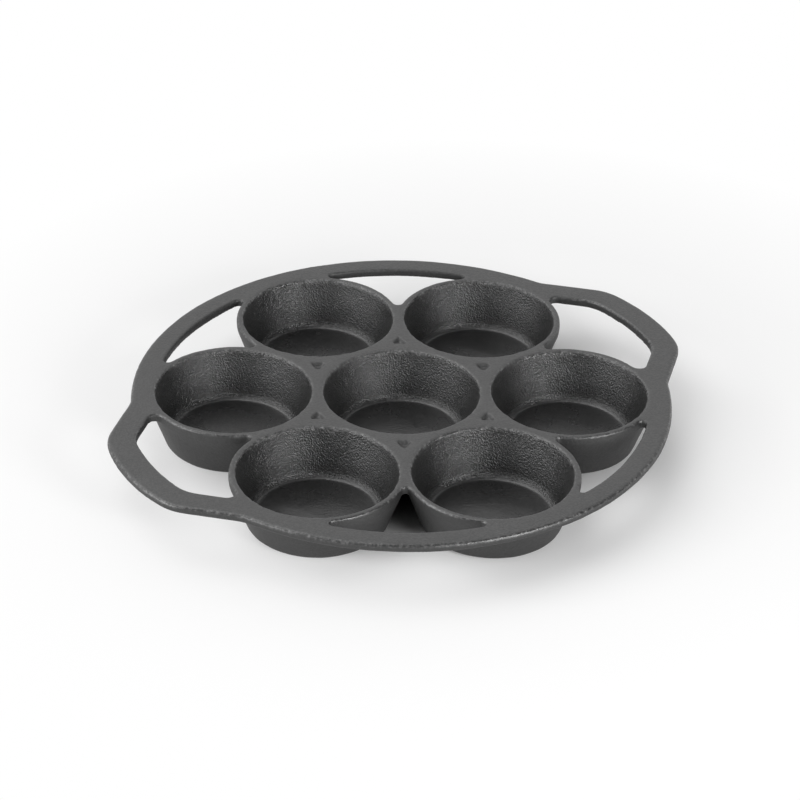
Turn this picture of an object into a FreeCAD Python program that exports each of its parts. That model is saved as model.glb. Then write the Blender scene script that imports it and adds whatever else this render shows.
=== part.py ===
import FreeCAD, Part
import math
import os

# Driving sizes in millimetres, angles in degrees.

# Round cups: one in the middle and one ring of cups around it.
CUPS_AROUND = 6
MOUTH_RADIUS = 40.0
WEB_WIDTH = 5.5
LIP_WIDTH = 3.3
PAN_HEIGHT = 29.0
FLOOR_THICKNESS = 3.6
CUP_TAPER = 7.2
FOOT_INSET = 5.5
FLOOR_CORNER_RADIUS = 3.6
FLOOR_CORNER_BAND_COUNT = 2
FOOT_CORNER_RADIUS = 3.0
FOOT_CORNER_BAND_COUNT = 1
MOUTH_BEVEL = 0.6

# Flat plate and the rim around the cups.
PLATE_THICKNESS = 4.5
RIM_LAP = 0.2
RIM_WIDTH = 11.8
RIM_BEVEL = 1.1

# Handles at +X and -X, drawn as a shallow tip arc between two straight flanks.
HANDLE_REACH = 18.5
HANDLE_TIP_RADIUS = 105.0
HANDLE_HALF_WIDTH = 34.3
HANDLE_FLANK_ANGLE = 46.5
HANDLE_CORNER_RADIUS = 25.0
HANDLE_ROOT_RADIUS = 16.0
HANDLE_TIP_BAND = 14.9
HANDLE_FLANK_BAND = 13.7

# Openings through the plate: one grip opening per handle, one gap between the other outer cups.
GRIP_TIP_RADIUS = 110.0
GRIP_CORNER_RADIUS = 20.0
GRIP_END_RADIUS = 4.0
GAP_END_RADIUS = 2.0
APEX_RADIUS = 2.4
OPENING_BEVEL = 0.6

# Three-cornered dimples sunk in the plate where three cups meet.
DIMPLE_SIDE = 8.6
DIMPLE_DEPTH = 2.0
DIMPLE_TAPER = 0.6
DIMPLE_BLUNT = 1.0

# Sizes that follow from the ones above.
CUP_STEP = 360.0 / CUPS_AROUND
CUP_PITCH = 2.0 * MOUTH_RADIUS + WEB_WIDTH
LIP_RADIUS = MOUTH_RADIUS + LIP_WIDTH
FOOT_RADIUS = MOUTH_RADIUS - FOOT_INSET
FLOOR_RADIUS = MOUTH_RADIUS - CUP_TAPER
CUP_DEPTH = PAN_HEIGHT - FLOOR_THICKNESS
PLATE_BOTTOM = PAN_HEIGHT - PLATE_THICKNESS
RIM_INNER_RADIUS = CUP_PITCH + MOUTH_RADIUS + RIM_LAP
RIM_OUTER_RADIUS = RIM_INNER_RADIUS + RIM_WIDTH
HANDLE_TIP_X = RIM_OUTER_RADIUS + HANDLE_REACH
DIMPLE_PITCH_RADIUS = CUP_PITCH / math.sqrt(3.0)

# How far a cutting body runs past a face, and the slack for picking edges.
OVERCUT = 1.0
SLACK = 1e-3

ORIGIN = FreeCAD.Vector(0, 0, 0)
UP = FreeCAD.Vector(0, 0, 1)


def polar(radius, angle):
    turn = math.radians(angle)
    return FreeCAD.Vector(radius * math.cos(turn), radius * math.sin(turn), 0)


def turned(shape, angle):
    copy = shape.copy()
    copy.rotate(ORIGIN, UP, angle)
    return copy


def moved(shape, offset):
    copy = shape.copy()
    copy.translate(offset)
    return copy


def mirrored(point):
    return FreeCAD.Vector(point.x, -point.y, point.z)


def towards(centre, point, radius):
    step = point - centre
    step.normalize()
    return centre + step * radius


def arc(centre, radius, start, end):
    # The shorter arc about a centre between two points on it.
    halfway = centre + (start - centre) + (end - centre)
    return Part.Arc(start, towards(centre, halfway, radius), end).toShape()


def arc_over_axis(centre, radius, point):
    return arc(centre, radius, mirrored(point), point)


def arc_pair(centre, radius, start, end):
    other = arc(mirrored(centre), radius, mirrored(start), mirrored(end))
    return [arc(centre, radius, start, end), other]


def line_pair(start, end):
    return [Part.makeLine(start, end), Part.makeLine(mirrored(start), mirrored(end))]


def circles_meet(first, first_radius, second, second_radius):
    # The meeting point to the left of the way from the first centre to the second.
    way = second - first
    span = way.Length
    way.normalize()
    along = (span ** 2 + first_radius ** 2 - second_radius ** 2) / (2.0 * span)
    aside = math.sqrt(first_radius ** 2 - along ** 2)
    return first + way * along + FreeCAD.Vector(-way.y, way.x, 0) * aside


def line_meets_circle(normal, distance, centre, radius):
    # The line lies square to the normal; of its two meeting points the one nearer the tip is given.
    offset = distance - centre.dot(normal)
    aside = math.sqrt(radius ** 2 - offset ** 2)
    return centre + normal * offset + FreeCAD.Vector(normal.y, -normal.x, 0) * aside


def prism(edges, bottom, height):
    face = Part.Face(Part.Wire(Part.sortEdges(edges)[0]))
    return moved(face.extrude(UP * height), UP * bottom)


def through_plate(edges):
    return prism(edges, PLATE_BOTTOM - OVERCUT, PLATE_THICKNESS + 2.0 * OVERCUT)


def top_face(shape):
    level = [f for f in shape.Faces if abs(f.BoundBox.ZMin - PAN_HEIGHT) + f.BoundBox.ZLength < SLACK]
    return max(level, key=lambda face: face.Area)


def inner_edges(face):
    return [e for wire in face.Wires if not wire.isSame(face.OuterWire) for e in wire.Edges]


def upright_edges(shape, radius):
    # Straight edges along Z at one distance from the middle of the pan.
    found = []
    for edge in shape.Edges:
        box = edge.BoundBox
        upright = max(box.XLength, box.YLength) < SLACK < box.ZLength
        if upright and abs(math.hypot(box.Center.x, box.Center.y) - radius) < SLACK:
            found.append(edge)
    return found


def cup_centres():
    around = [polar(CUP_PITCH, CUP_STEP * (index + 0.5)) for index in range(CUPS_AROUND)]
    return [ORIGIN] + around


def flank_normal():
    return polar(1.0, HANDLE_FLANK_ANGLE)


def flank_distance():
    # How far from the middle of the pan the outer flank of a handle runs.
    sagitta = HANDLE_TIP_RADIUS - math.sqrt(HANDLE_TIP_RADIUS ** 2 - HANDLE_HALF_WIDTH ** 2)
    corner = FreeCAD.Vector(HANDLE_TIP_X - sagitta, HANDLE_HALF_WIDTH, 0)
    return corner.dot(flank_normal())


def handle_end(tip_x, tip_radius, distance, corner_radius, root):
    # Outline of a handle end: tip arc, two round corners and two flanks that run back to the root.
    normal = flank_normal()
    tip_centre = FreeCAD.Vector(tip_x - tip_radius, 0, 0)
    corner = line_meets_circle(normal, distance - corner_radius, tip_centre, tip_radius - corner_radius)
    on_tip = towards(tip_centre, corner, tip_radius)
    on_flank = corner + normal * corner_radius
    edges = [arc_over_axis(tip_centre, tip_radius, on_tip)]
    edges += arc_pair(corner, corner_radius, on_tip, on_flank)
    edges += line_pair(on_flank, root)
    return edges


def handle_lug():
    distance = flank_distance()
    root = flank_normal() * distance
    edges = handle_end(HANDLE_TIP_X, HANDLE_TIP_RADIUS, distance, HANDLE_CORNER_RADIUS, root)
    edges.append(Part.makeLine(root, mirrored(root)))
    return prism(edges, PLATE_BOTTOM, PLATE_THICKNESS)


def plate_blank():
    rim = Part.makeCylinder(RIM_OUTER_RADIUS, PLATE_THICKNESS, UP * PLATE_BOTTOM, UP)
    lug = handle_lug()
    blank = rim.multiFuse([lug, turned(lug, 180.0)]).removeSplitter()
    blank = blank.makeFillet(HANDLE_ROOT_RADIUS, upright_edges(blank, RIM_OUTER_RADIUS))
    outline = [e for e in blank.Edges if e.BoundBox.ZLength < SLACK]
    return blank.makeChamfer(RIM_BEVEL, outline)


def apex_and_lips(end_centre):
    # The side of an opening that follows two lips, from the apex between them to the far ends.
    cup = polar(CUP_PITCH, CUP_STEP / 2.0)
    apex_x = cup.x + math.sqrt((LIP_RADIUS + APEX_RADIUS) ** 2 - cup.y ** 2)
    apex_centre = FreeCAD.Vector(apex_x, 0, 0)
    near = towards(cup, apex_centre, LIP_RADIUS)
    far = towards(cup, end_centre, LIP_RADIUS)
    return [arc_over_axis(apex_centre, APEX_RADIUS, near)] + arc_pair(cup, LIP_RADIUS, near, far), far


def rim_gap():
    cup = polar(CUP_PITCH, CUP_STEP / 2.0)
    end_centre = circles_meet(cup, LIP_RADIUS + GAP_END_RADIUS, ORIGIN, RIM_INNER_RADIUS - GAP_END_RADIUS)
    on_rim = towards(ORIGIN, end_centre, RIM_INNER_RADIUS)
    edges, on_lip = apex_and_lips(end_centre)
    edges += arc_pair(end_centre, GAP_END_RADIUS, on_lip, on_rim)
    edges.append(arc_over_axis(ORIGIN, RIM_INNER_RADIUS, on_rim))
    return through_plate(edges)


def grip_opening():
    cup = polar(CUP_PITCH, CUP_STEP / 2.0)
    normal = flank_normal()
    distance = flank_distance() - HANDLE_FLANK_BAND
    end_centre = line_meets_circle(normal, distance - GRIP_END_RADIUS, cup, LIP_RADIUS + GRIP_END_RADIUS)
    on_flank = end_centre + normal * GRIP_END_RADIUS
    edges, on_lip = apex_and_lips(end_centre)
    edges += arc_pair(end_centre, GRIP_END_RADIUS, on_lip, on_flank)
    tip_x = HANDLE_TIP_X - HANDLE_TIP_BAND
    edges += handle_end(tip_x, GRIP_TIP_RADIUS, distance, GRIP_CORNER_RADIUS, on_flank)
    return through_plate(edges)


def opened_plate():
    gap = rim_gap()
    grip = grip_opening()
    turns = [CUP_STEP * index for index in range(CUPS_AROUND)]
    handle_turns = (turns[0], turns[CUPS_AROUND // 2])
    openings = [turned(grip if turn in handle_turns else gap, turn) for turn in turns]
    plate = plate_blank().cut(openings)
    return plate.makeChamfer(OPENING_BEVEL, inner_edges(top_face(plate)))


def spun_solid(lower_radius, upper_radius, height, corner_radius, bands):
    # Solid of revolution that widens upwards. Its round lower corner is a ring of sloping bands.
    slope = math.atan2(height, upper_radius - lower_radius)
    middle = lower_radius - corner_radius * math.tan(slope / 2.0)
    points = [ORIGIN]
    for band in range(bands + 1):
        turn = slope * band / bands
        out = middle + corner_radius * math.sin(turn)
        points.append(FreeCAD.Vector(out, 0, corner_radius * (1.0 - math.cos(turn))))
    points += [FreeCAD.Vector(upper_radius, 0, height), UP * height, ORIGIN]
    return Part.Face(Part.makePolygon(points)).revolve(ORIGIN, UP, 360.0)


def cup_body():
    return spun_solid(FOOT_RADIUS, LIP_RADIUS, PLATE_BOTTOM, FOOT_CORNER_RADIUS, FOOT_CORNER_BAND_COUNT)


def cup_cavity():
    mouth = MOUTH_RADIUS + OVERCUT * CUP_TAPER / CUP_DEPTH
    height = CUP_DEPTH + OVERCUT
    cavity = spun_solid(FLOOR_RADIUS, mouth, height, FLOOR_CORNER_RADIUS, FLOOR_CORNER_BAND_COUNT)
    return moved(cavity, UP * FLOOR_THICKNESS)


def dimple_corners(height):
    # Triangle with blunt corners, drawn in by the wall taper below the top of the plate.
    inset = DIMPLE_TAPER * (PAN_HEIGHT - height) / DIMPLE_DEPTH
    reach = DIMPLE_SIDE / math.sqrt(3.0) - 2.0 * inset
    middle = FreeCAD.Vector(DIMPLE_PITCH_RADIUS, 0, height)
    points = []
    for turn in (0.0, 120.0, 240.0):
        corner = middle + polar(reach, turn)
        points.append(corner + polar(DIMPLE_BLUNT, turn - 150.0))
        points.append(corner + polar(DIMPLE_BLUNT, turn + 150.0))
    return points


def dimple():
    lower = dimple_corners(PAN_HEIGHT - DIMPLE_DEPTH)
    upper = dimple_corners(PAN_HEIGHT + OVERCUT)
    rings = [lower, upper]
    for index in range(len(lower)):
        rings.append([lower[index - 1], lower[index], upper[index], upper[index - 1]])
    faces = [Part.Face(Part.makePolygon(ring + ring[:1])) for ring in rings]
    return Part.Solid(Part.Shell(faces))


def biscuit_pan():
    centres = cup_centres()
    body = cup_body()
    pan = opened_plate().multiFuse([moved(body, centre) for centre in centres]).removeSplitter()
    cavity = cup_cavity()
    hollows = [moved(cavity, centre) for centre in centres]
    sunk = dimple()
    hollows += [turned(sunk, CUP_STEP * index) for index in range(CUPS_AROUND)]
    pan = pan.cut(hollows)
    mouths = [e for e in inner_edges(top_face(pan)) if abs(e.Length - 2.0 * math.pi * MOUTH_RADIUS) < SLACK]
    return pan.makeChamfer(MOUTH_BEVEL, mouths)


os.makedirs("parts", exist_ok=True)
biscuit_pan().exportStep("parts/biscuit_pan.step")
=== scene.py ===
import math

import bpy
import numpy as np
from mathutils import Matrix, Vector


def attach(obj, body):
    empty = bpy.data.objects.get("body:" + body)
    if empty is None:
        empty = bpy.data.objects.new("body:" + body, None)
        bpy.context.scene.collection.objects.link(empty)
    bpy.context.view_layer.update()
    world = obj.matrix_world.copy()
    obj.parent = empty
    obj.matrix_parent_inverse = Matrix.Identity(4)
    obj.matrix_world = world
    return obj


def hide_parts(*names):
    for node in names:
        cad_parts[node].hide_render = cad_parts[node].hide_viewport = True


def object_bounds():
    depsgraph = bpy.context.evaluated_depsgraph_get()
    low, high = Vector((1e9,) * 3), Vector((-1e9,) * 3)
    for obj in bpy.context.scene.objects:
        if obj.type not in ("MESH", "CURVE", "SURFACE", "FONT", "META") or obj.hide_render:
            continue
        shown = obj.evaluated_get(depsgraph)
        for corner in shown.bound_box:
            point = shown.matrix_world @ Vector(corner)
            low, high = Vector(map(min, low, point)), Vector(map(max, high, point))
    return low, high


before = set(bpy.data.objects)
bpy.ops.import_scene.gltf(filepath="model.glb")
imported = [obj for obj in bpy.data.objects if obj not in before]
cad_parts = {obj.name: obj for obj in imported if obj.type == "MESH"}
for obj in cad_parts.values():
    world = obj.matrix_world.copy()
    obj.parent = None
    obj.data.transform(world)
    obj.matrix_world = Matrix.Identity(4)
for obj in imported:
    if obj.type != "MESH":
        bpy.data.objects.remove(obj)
cad_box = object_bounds()

# Sizes of the pan in metres. The box of the casting gives its top and its rim.
CUPS_AROUND = 6
CUP_PITCH = 0.0855
MOUTH_RADIUS = 0.040
LIP_RADIUS = 0.0433
FLOOR_RADIUS = 0.0328
FLOOR_THICKNESS = 0.0036
PAN_TOP = cad_box[1].z
RIM_RADIUS = cad_box[1].y

# Camera of the photograph. It looks at a spot on the top of the pan.
SENSOR_WIDTH = 36.0
LENS = 124.4
SENSOR_SHIFT = -0.00125
AZIMUTH = -32.05
ELEVATION = 32.0
ROLL = 1.405
DISTANCE = 1.3999
AIM = Vector((-0.0050, -0.0075, PAN_TOP))

# Skin of the casting: its net, and the lengths and heights of the waves of the sand mould, in metres.
WELD_GAP = 1e-6
VOXEL = 0.0008
SMOOTH_PASSES = 5
MOST_TRIANGLES = 185000
SKIN_SEED = 11
WAVES_IN_FIELD = 14
WAVE_PACES = (0.6, 1.5)
FIELD_LIMIT = 1.5
LONG_WAVE, LONG_HEIGHT = 0.035, 0.00010
SHORT_WAVE, SHORT_HEIGHT = 0.009, 0.00005
LIP_WAVE, LIP_HEIGHT = 0.005, 0.00016
LIP_BAND, LIP_DEPTH = 0.0012, 0.003

# Where the looks of the iron change. Slopes are the upward part of the normal, the rest is in metres.
UNDERSIDE_SHARE = 0.6
WALL_MARGIN = (-0.0022, -0.0010)
FLOOR_BLEND = 0.0009
ROUND_RISE, ROUND_SPREAD = 0.0016, 0.0014
WALL_TOP = (0.0007, 0.0001)
WORN_AND_GLINT_TOP = (0.0022, 0.0012)
WORN_AND_GLINT_BEYOND_LIP = (0.0005, 0.0020)
WORN_AND_GLINT_WITHIN_RIM = (0.005, 0.003)
WORN_AND_GLINT_ELSEWHERE = 0.2
WORN_AND_GLINT_SLOPE_FROM = (0.10, 0.45)
WORN_AND_GLINT_SLOPE_TO = (0.85, 0.98)
SIDE_SLOPE = (0.70, 0.97)

# Iron: sizes of its noises and depths of its bumps in metres, the band of each noise that is used, and the
# tones and roughness that come of it.
PATCH_SIZE, PATCH_BAND = 0.030, (0.3, 0.7)
GRAIN_SIZE, GRAIN_BAND = 0.0011, (0.35, 0.70)
CHIP_SIZE, CHIP_BAND = 0.0022, (0.47, 0.68)
PEBBLE_SIZE = 0.00082
GRAIN_DEPTH = 0.00022
PEBBLE_DEPTH = 0.00052
IRON_TONE = (0.012, 0.018)
SPECK_FACTOR = (0.50, 2.10)
# Tone added on worn edges: partly wear and partly painted highlight.
CHIP_AND_GLINT_TONE = (0.0, 0.11)
# Painted shade: the tone taken off the cup floors.
CUP_FLOOR_PAINTED_SHADE = 0.006
CUP_FLOOR_LESS_GRAIN = 0.6
# Painted shade: the tone of the sides outside the cups is multiplied down to half.
SIDE_PAINTED_SHADE_FACTOR = (1.0, 0.5)
IRON_ROUGHNESS = (0.38, 0.44)
SMOOTHER = {"cup_wall": 0.10, "cup_floor": 0.13, "worn_and_glint_edge": 0.03, "cup_round": 0.05, "side": -0.20}
IRON_IOR = 1.80

# Floor of the studio. It turns white with the distance from one spot, in two fades, and has a painted shadow
# around another.
FLOOR_SIDE = 40.0
FLOOR_GREY = 0.85
# The farther white fade is the plain white backdrop; the nearer one is painted light that lifts the pan's shadow.
WHITE_AND_PAINTED_LIGHT_SPOT = (0.045, -0.01, 0.0)
WHITE_AND_PAINTED_LIGHT_FADES = ((0.20, 0.33), (0.082, 0.165))
# Painted shadow: the floor is painted near black around this spot, under the pan behind the two front cups.
PAINTED_SHADE_SPOT = (-0.02, -0.035, 0.0)
PAINTED_SHADE_GREY = 0.04
PAINTED_SHADE_FADE = (0.014, 0.058)
WHITE_AROUND_PAINTED_SHADE = (0.040, 0.075)

# Light of the room. Each glow has its turn from the camera and its height in degrees, the band of closeness
# to that direction in which it fades in, and its strength.
ROOM_LIGHT = 0.06
GLOWS = (
    (180.0, 15.0, (0.20, 0.75), 0.765),
    (-105.0, 60.0, (0.78, 0.97), 1.75),
    (0.0, 38.0, (0.75, 0.97), 0.18),
)


def wander(points, wavelength, seed):
    # Smooth random field from -1 to 1, the same on every run.
    dice = np.random.default_rng(seed)
    total = np.zeros(len(points))
    for _ in range(WAVES_IN_FIELD):
        direction = dice.normal(size=3)
        direction /= np.linalg.norm(direction)
        pace = 2.0 * math.pi / wavelength * dice.uniform(*WAVE_PACES)
        total += np.sin(points @ direction * pace + dice.uniform(0.0, 2.0 * math.pi))
    return np.clip(total / math.sqrt(WAVES_IN_FIELD), -FIELD_LIMIT, FIELD_LIMIT) / FIELD_LIMIT


def smooth_step(value, low, high):
    share = np.clip((value - low) / (high - low), 0.0, 1.0)
    return share * share * (3.0 - 2.0 * share)


def read_vectors(items, name):
    flat = np.empty(len(items) * 3, np.float32)
    items.foreach_get(name, flat)
    return flat.reshape(-1, 3).astype(float)


def read_points(mesh):
    return read_vectors(mesh.vertices, "co")


def write_points(mesh, points):
    # The skin never leaves the box of the casting.
    inside = np.clip(points, np.array(cad_box[0]), np.array(cad_box[1]))
    mesh.vertices.foreach_set("co", inside.astype(np.float32).ravel())
    mesh.update()


def apply_modifiers(piece):
    graph = bpy.context.evaluated_depsgraph_get()
    graph.update()
    mesh = bpy.data.meshes.new_from_object(piece.evaluated_get(graph))
    old = piece.data
    piece.modifiers.clear()
    piece.data = mesh
    bpy.data.meshes.remove(old)


def cup_centres():
    centres = [(0.0, 0.0)]
    for index in range(CUPS_AROUND):
        turn = 2.0 * math.pi * (index + 0.5) / CUPS_AROUND
        centres.append((CUP_PITCH * math.cos(turn), CUP_PITCH * math.sin(turn)))
    return np.array(centres)


def nearest_cup(points):
    # Distance of each point from the axis of the nearest cup.
    away = points[:, None, :2] - cup_centres()[None]
    return np.sqrt((away ** 2).sum(axis=2)).min(axis=1)


def weld_copy(node, name):
    piece = bpy.data.objects.new(name, node.data.copy())
    bpy.context.scene.collection.objects.link(piece)
    weld = piece.modifiers.new("weld", "WELD")
    weld.merge_threshold = WELD_GAP
    return piece


def skin_casting(piece):
    # An even net over the casting, with its edges worn round.
    net = piece.modifiers.new("net", "REMESH")
    net.mode = "VOXEL"
    net.voxel_size = VOXEL
    net.use_smooth_shade = True
    soften = piece.modifiers.new("soften", "SMOOTH")
    soften.factor = 0.5
    soften.iterations = SMOOTH_PASSES
    apply_modifiers(piece)


def roughen_casting(mesh):
    # Waves of the sand mould, and uneven lips.
    points = read_points(mesh)
    normals = read_vectors(mesh.vertex_normals, "vector")
    lip = np.exp(-((nearest_cup(points) - MOUTH_RADIUS) / LIP_BAND) ** 2)
    lip *= smooth_step(points[:, 2], PAN_TOP - LIP_DEPTH, PAN_TOP)
    lift = LONG_HEIGHT * wander(points, LONG_WAVE, SKIN_SEED)
    lift += SHORT_HEIGHT * wander(points, SHORT_WAVE, SKIN_SEED + 1)
    lift += lip * LIP_HEIGHT * wander(points, LIP_WAVE, SKIN_SEED + 2)
    write_points(mesh, points + normals * lift[:, None])


def thin_out(piece):
    triangles = sum(len(p.vertices) - 2 for p in piece.data.polygons)
    if triangles > MOST_TRIANGLES:
        fewer = piece.modifiers.new("fewer", "DECIMATE")
        fewer.ratio = MOST_TRIANGLES / triangles
        apply_modifiers(piece)
    write_points(piece.data, read_points(piece.data))


def add_share(mesh, name, values):
    layer = mesh.attributes.new(name, "FLOAT", "POINT")
    layer.data.foreach_set("value", values.astype(np.float32))


def fade_below_top(height, band):
    # From 0 to 1 between two depths below the top of the pan.
    return smooth_step(height, PAN_TOP - band[0], PAN_TOP - band[1])


def mark_regions(mesh):
    # Shares from 0 to 1 that the iron's nodes read: pebbled cup walls, cup floors, which get painted shade, the
    # round between them, worn edges, paler partly as painted highlight, and the sides outside the cups, which get
    # painted shade.
    points = read_points(mesh)
    height = points[:, 2]
    upward = read_vectors(mesh.vertex_normals, "vector")[:, 2]
    radius = nearest_cup(points)
    risen = (height - FLOOR_THICKNESS) / (PAN_TOP - FLOOR_THICKNESS)
    wall_radius = FLOOR_RADIUS + risen * (MOUTH_RADIUS - FLOOR_RADIUS)
    above_underside = height > FLOOR_THICKNESS * UNDERSIDE_SHARE
    inside = smooth_step(wall_radius - radius, *WALL_MARGIN) * above_underside
    high_up = smooth_step(height, FLOOR_THICKNESS, FLOOR_THICKNESS + FLOOR_BLEND)
    from_round = (height - FLOOR_THICKNESS - ROUND_RISE) / ROUND_SPREAD
    add_share(mesh, "cup_wall", inside * high_up * (1.0 - fade_below_top(height, WALL_TOP)))
    add_share(mesh, "cup_floor", inside * (1.0 - high_up))
    add_share(mesh, "cup_round", inside * np.exp(-from_round ** 2))

    # Hands and tools wear the cup lips and the outer edge most. Their paler tone is partly that wear and partly
    # painted highlight.
    from_middle = np.hypot(points[:, 0], points[:, 1])
    near_lip = 1.0 - smooth_step(radius, LIP_RADIUS + WORN_AND_GLINT_BEYOND_LIP[0], LIP_RADIUS + WORN_AND_GLINT_BEYOND_LIP[1])
    far_out = smooth_step(from_middle, RIM_RADIUS - WORN_AND_GLINT_WITHIN_RIM[0], RIM_RADIUS - WORN_AND_GLINT_WITHIN_RIM[1])
    edge = smooth_step(upward, *WORN_AND_GLINT_SLOPE_FROM) * (1.0 - smooth_step(upward, *WORN_AND_GLINT_SLOPE_TO))
    edge *= fade_below_top(height, WORN_AND_GLINT_TOP)
    edge *= WORN_AND_GLINT_ELSEWHERE + (1.0 - WORN_AND_GLINT_ELSEWHERE) * np.maximum(near_lip, far_out)
    add_share(mesh, "worn_and_glint_edge", edge)
    # The sides outside the cups get painted shade in the iron's tone, and more roughness.
    add_share(mesh, "side", (1.0 - inside) * (1.0 - edge) * (1.0 - smooth_step(upward, *SIDE_SLOPE)))


def node_graph(material):
    material.use_nodes = True
    material.node_tree.nodes.clear()
    return material.node_tree.nodes, material.node_tree.links


def noise(nodes, links, place, size, detail=3.0, roughness=0.55):
    texture = nodes.new("ShaderNodeTexNoise")
    texture.inputs["Scale"].default_value = 1.0 / size
    texture.inputs["Detail"].default_value = detail
    texture.inputs["Roughness"].default_value = roughness
    links.new(place, texture.inputs["Vector"])
    return texture.outputs["Fac"]


def spread(nodes, links, value, low, high, new_low, new_high):
    ranged = nodes.new("ShaderNodeMapRange")
    ranged.inputs["From Min"].default_value = low
    ranged.inputs["From Max"].default_value = high
    ranged.inputs["To Min"].default_value = new_low
    ranged.inputs["To Max"].default_value = new_high
    links.new(value, ranged.inputs["Value"])
    return ranged.outputs["Result"]


def combine(nodes, links, operation, first, second):
    maths = nodes.new("ShaderNodeMath")
    maths.operation = operation
    for socket, value in zip(maths.inputs, (first, second)):
        if isinstance(value, float):
            socket.default_value = value
        else:
            links.new(value, socket)
    return maths.outputs["Value"]


def grey_colour(nodes, links, tone):
    colour = nodes.new("ShaderNodeCombineColor")
    for channel in ("Red", "Green", "Blue"):
        links.new(tone, colour.inputs[channel])
    return colour.outputs["Color"]


def share_of(nodes, name):
    attribute = nodes.new("ShaderNodeAttribute")
    attribute.attribute_name = name
    return attribute.outputs["Fac"]


def bump(nodes, links, height, depth, below=None):
    bumped = nodes.new("ShaderNodeBump")
    bumped.inputs["Distance"].default_value = depth
    links.new(height, bumped.inputs["Height"])
    if below is not None:
        links.new(below, bumped.inputs["Normal"])
    return bumped.outputs["Normal"]


def iron_material():
    # Seasoned cast iron: near black, fine sand grain all over, orange peel on the cup walls, worn edges paler,
    # partly as painted highlight, and painted shade on the cup floors and on the sides outside the cups.
    material = bpy.data.materials.new("seasoned_iron")
    nodes, links = node_graph(material)
    place = nodes.new("ShaderNodeTexCoord").outputs["Object"]
    shares = {name: share_of(nodes, name) for name in SMOOTHER}
    patches = noise(nodes, links, place, PATCH_SIZE, detail=4.0)
    grain = noise(nodes, links, place, GRAIN_SIZE)
    pebbles = noise(nodes, links, place, PEBBLE_SIZE, detail=2.0)
    chips = noise(nodes, links, place, CHIP_SIZE, detail=4.0, roughness=0.7)

    tone = spread(nodes, links, patches, *PATCH_BAND, *IRON_TONE)
    tone = combine(nodes, links, "MULTIPLY", tone, spread(nodes, links, grain, *GRAIN_BAND, *SPECK_FACTOR))
    # Painted shade on the cup floors.
    floor_painted_shade = combine(nodes, links, "MULTIPLY", shares["cup_floor"], CUP_FLOOR_PAINTED_SHADE)
    tone = combine(nodes, links, "SUBTRACT", tone, floor_painted_shade)
    # Painted shade on the sides outside the cups.
    tone = combine(nodes, links, "MULTIPLY", tone, spread(nodes, links, shares["side"], 0.0, 1.0, *SIDE_PAINTED_SHADE_FACTOR))
    # Worn edges get a paler tone, partly wear and partly painted highlight.
    chip_and_glint_tone = spread(nodes, links, chips, *CHIP_BAND, *CHIP_AND_GLINT_TONE)
    tone = combine(nodes, links, "ADD", tone, combine(nodes, links, "MULTIPLY", shares["worn_and_glint_edge"], chip_and_glint_tone))

    rough = spread(nodes, links, patches, *PATCH_BAND, *IRON_ROUGHNESS)
    for name, smoother in SMOOTHER.items():
        rough = combine(nodes, links, "SUBTRACT", rough, combine(nodes, links, "MULTIPLY", shares[name], smoother))

    less_grain = combine(nodes, links, "MULTIPLY", shares["cup_floor"], CUP_FLOOR_LESS_GRAIN)
    grain = combine(nodes, links, "MULTIPLY", grain, combine(nodes, links, "SUBTRACT", 1.0, less_grain))
    pebbles = combine(nodes, links, "MULTIPLY", pebbles, shares["cup_wall"])
    fine = bump(nodes, links, grain, GRAIN_DEPTH)
    coarse = bump(nodes, links, pebbles, PEBBLE_DEPTH, below=fine)

    shader = nodes.new("ShaderNodeBsdfPrincipled")
    shader.inputs["IOR"].default_value = IRON_IOR
    links.new(grey_colour(nodes, links, tone), shader.inputs["Base Color"])
    links.new(rough, shader.inputs["Roughness"])
    links.new(coarse, shader.inputs["Normal"])
    output = nodes.new("ShaderNodeOutputMaterial")
    links.new(shader.outputs["BSDF"], output.inputs["Surface"])
    return material


def make_casting():
    piece = weld_copy(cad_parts["biscuit_pan"], "casting")
    skin_casting(piece)
    roughen_casting(piece.data)
    thin_out(piece)
    piece.data.polygons.foreach_set("use_smooth", [True] * len(piece.data.polygons))
    mark_regions(piece.data)
    piece.data.materials.clear()
    piece.data.materials.append(iron_material())
    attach(piece, "root")
    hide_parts("biscuit_pan")


def reach_from(nodes, links, place, spot):
    reach = nodes.new("ShaderNodeVectorMath")
    reach.operation = "DISTANCE"
    reach.inputs[1].default_value = spot
    links.new(place, reach.inputs[0])
    return reach.outputs["Value"]


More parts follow.
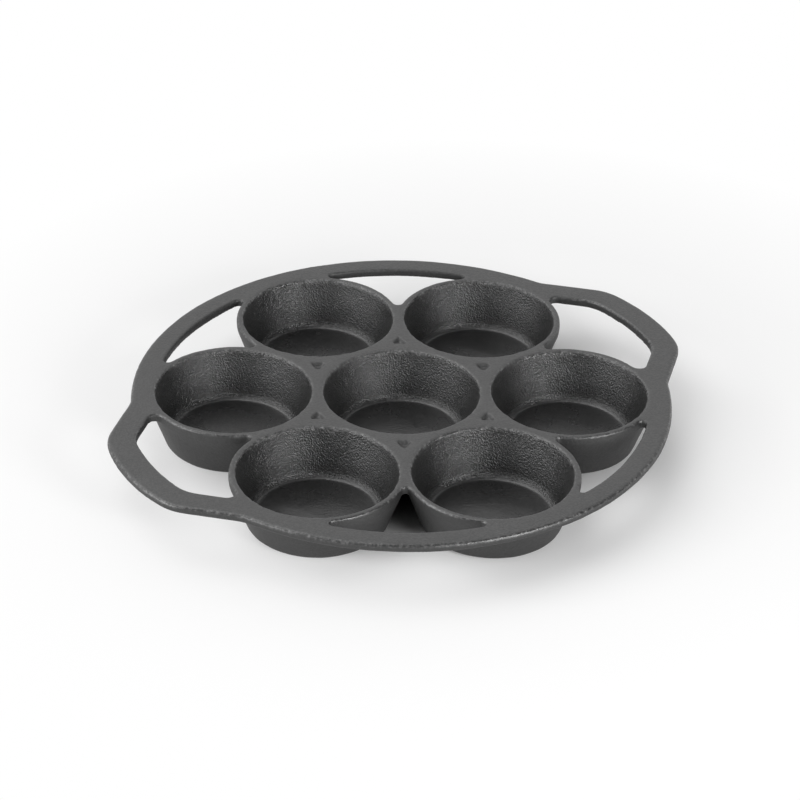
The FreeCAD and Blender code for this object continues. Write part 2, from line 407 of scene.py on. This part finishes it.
def floor_material():
    # Pale grey near the pan, fading to plain white further out for the camera and the glossy iron, with painted
    # light that lifts the pan's shadow close to it, and a painted shadow, near black, in the wedge behind the two
    # front cups.
    material = bpy.data.materials.new("studio_floor")
    nodes, links = node_graph(material)
    place = nodes.new("ShaderNodeTexCoord").outputs["Object"]
    reach = reach_from(nodes, links, place, WHITE_AND_PAINTED_LIGHT_SPOT)
    # The farther fade is the white backdrop, the nearer one painted light over the pan's shadow.
    outer, painted_light_fade = (spread(nodes, links, reach, *fade, 0.0, 0.5) for fade in WHITE_AND_PAINTED_LIGHT_FADES)
    wedge = reach_from(nodes, links, place, PAINTED_SHADE_SPOT)
    around = spread(nodes, links, wedge, *WHITE_AROUND_PAINTED_SHADE, 0.0, 1.0)
    far = combine(nodes, links, "MULTIPLY", combine(nodes, links, "ADD", outer, painted_light_fade), around)
    # Painted shadow: the floor's colour goes near black close to the shade spot.
    grey = spread(nodes, links, wedge, *PAINTED_SHADE_FADE, PAINTED_SHADE_GREY, FLOOR_GREY)
    path = nodes.new("ShaderNodeLightPath")
    seen = combine(nodes, links, "MAXIMUM", path.outputs["Is Camera Ray"], path.outputs["Is Glossy Ray"])
    matt = nodes.new("ShaderNodeBsdfDiffuse")
    links.new(grey_colour(nodes, links, grey), matt.inputs["Color"])
    white = nodes.new("ShaderNodeEmission")
    blend = nodes.new("ShaderNodeMixShader")
    links.new(combine(nodes, links, "MULTIPLY", far, seen), blend.inputs["Fac"])
    links.new(matt.outputs["BSDF"], blend.inputs[1])
    links.new(white.outputs["Emission"], blend.inputs[2])
    output = nodes.new("ShaderNodeOutputMaterial")
    links.new(blend.outputs["Shader"], output.inputs["Surface"])
    return material


def make_floor():
    half = FLOOR_SIDE / 2.0
    mesh = bpy.data.meshes.new("studio_floor")
    corners = [(-half, -half, 0), (half, -half, 0), (half, half, 0), (-half, half, 0)]
    mesh.from_pydata(corners, [], [(0, 1, 2, 3)])
    floor = bpy.data.objects.new("studio_floor", mesh)
    bpy.context.scene.collection.objects.link(floor)
    mesh.materials.append(floor_material())


def camera_direction(azimuth, elevation):
    # Unit vector from the pan towards a viewer. Azimuth 0 looks along +Y.
    turn, rise = math.radians(azimuth), math.radians(elevation)
    return Vector((math.sin(turn) * math.cos(rise), -math.cos(turn) * math.cos(rise), math.sin(rise)))


def make_camera():
    back = camera_direction(AZIMUTH, ELEVATION)
    right = Vector((math.cos(math.radians(AZIMUTH)), math.sin(math.radians(AZIMUTH)), 0.0))
    up = back.cross(right)
    lean = math.radians(ROLL)
    tilted_right = right * math.cos(lean) + up * math.sin(lean)
    tilted_up = up * math.cos(lean) - right * math.sin(lean)
    axes = Matrix((tilted_right, tilted_up, back)).transposed()
    data = bpy.data.cameras.new("camera")
    data.lens = LENS
    data.sensor_width = SENSOR_WIDTH
    data.shift_x = SENSOR_SHIFT
    data.clip_start = 0.05
    data.clip_end = 100.0
    camera = bpy.data.objects.new("camera", data)
    camera.matrix_world = Matrix.Translation(AIM + back * DISTANCE) @ axes.to_4x4()
    bpy.context.scene.collection.objects.link(camera)
    bpy.context.scene.camera = camera


def softbox(name, turn, rise, away, width, height, watts):
    # A lamp placed by its turn to the right of the camera, seen from the pan.
    direction = camera_direction(AZIMUTH + turn, rise)
    data = bpy.data.lights.new(name, "AREA")
    data.shape = "RECTANGLE"
    data.size = width
    data.size_y = height
    data.energy = watts
    lamp = bpy.data.objects.new(name, data)
    lamp.location = direction * away
    lamp.rotation_mode = "QUATERNION"
    lamp.rotation_quaternion = direction.to_track_quat("Z", "Y")
    bpy.context.scene.collection.objects.link(lamp)


def facing(nodes, links, direction, towards, low, high):
    # Share of the light that comes from around one direction.
    along = nodes.new("ShaderNodeVectorMath")
    along.operation = "DOT_PRODUCT"
    along.inputs[1].default_value = towards
    links.new(direction, along.inputs[0])
    share = nodes.new("ShaderNodeMapRange")
    share.interpolation_type = "SMOOTHSTEP"
    share.inputs["From Min"].default_value = low
    share.inputs["From Max"].default_value = high
    links.new(along.outputs["Value"], share.inputs["Value"])
    return share.outputs["Result"]


def make_world():
    # A dim room, bright behind the pan, above its left and, less, behind the camera.
    world = bpy.data.worlds.new("studio")
    world.use_nodes = True
    nodes, links = world.node_tree.nodes, world.node_tree.links
    nodes.clear()
    direction = nodes.new("ShaderNodeTexCoord").outputs["Generated"]
    level = 0.0
    for turn, rise, band, strength in GLOWS:
        glow = facing(nodes, links, direction, camera_direction(AZIMUTH + turn, rise), *band)
        level = combine(nodes, links, "ADD", level, combine(nodes, links, "MULTIPLY", glow, strength))
    level = combine(nodes, links, "ADD", level, ROOM_LIGHT)
    light = nodes.new("ShaderNodeBackground")
    light.inputs["Color"].default_value = (1.0, 1.0, 1.0, 1.0)
    links.new(level, light.inputs["Strength"])
    output = nodes.new("ShaderNodeOutputWorld")
    links.new(light.outputs["Background"], output.inputs["Surface"])
    bpy.context.scene.world = world


bpy.context.scene.view_settings.view_transform = "Standard"
make_world()
make_floor()
softbox("left", turn=-68.0, rise=20.0, away=1.4, width=1.1, height=0.5, watts=11.0)
softbox("right_front", turn=43.0, rise=20.0, away=1.4, width=0.42, height=0.5, watts=13.0)
make_camera()
make_casting()
